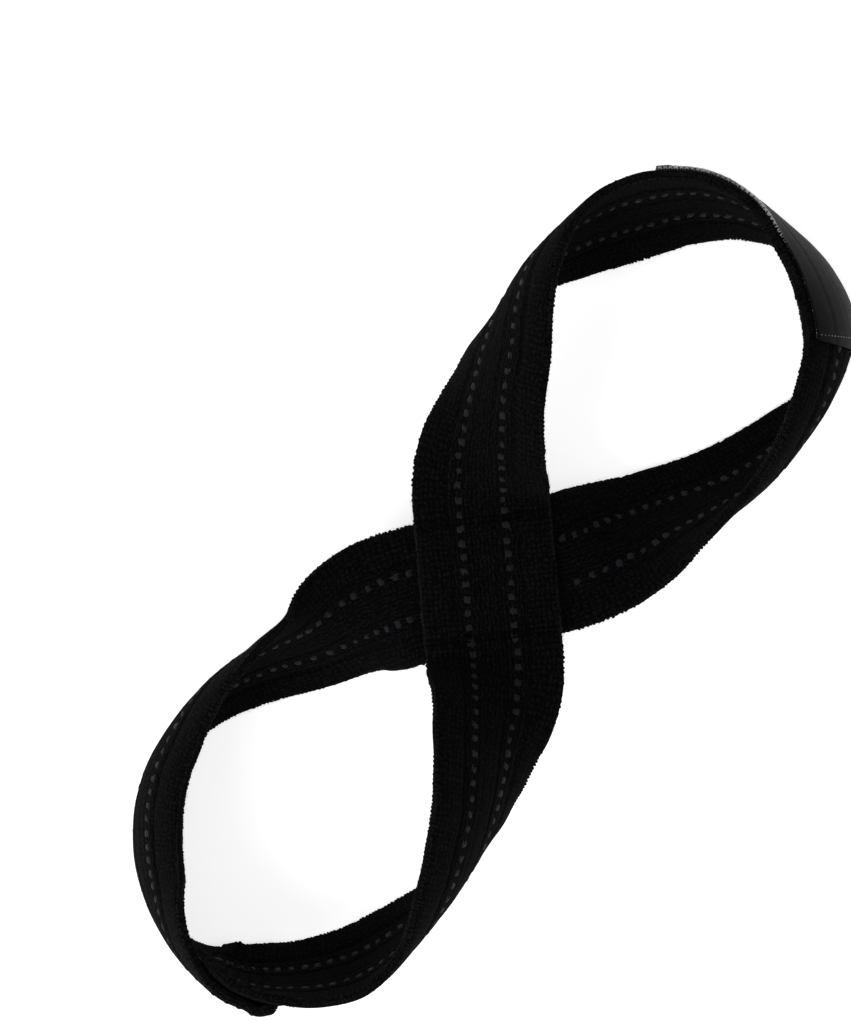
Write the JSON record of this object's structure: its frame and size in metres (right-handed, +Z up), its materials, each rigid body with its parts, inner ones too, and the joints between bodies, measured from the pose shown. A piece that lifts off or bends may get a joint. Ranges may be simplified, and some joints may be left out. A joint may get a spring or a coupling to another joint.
{
  "type": "figure-eight lifting strap",
  "caption": "Strip of heavy woven cotton webbing crossed and sewn into a figure eight, with a loop each side, a lapped end and a woven label.",
  "frame": {"origin": "on the surface that the strap lies on, under the middle of its outline", "axes": "+X runs along the strap towards the loop with the label, +Z is up from the surface"},
  "size_m": [0.267, 0.1066, 0.0523],
  "materials": {
    "webbing": "matt black woven cotton",
    "label": "charcoal woven satin"
  },
  "bodies": {
    "root": {"webbing": "webbing", "label": "label"}
  },
  "joints": []
}
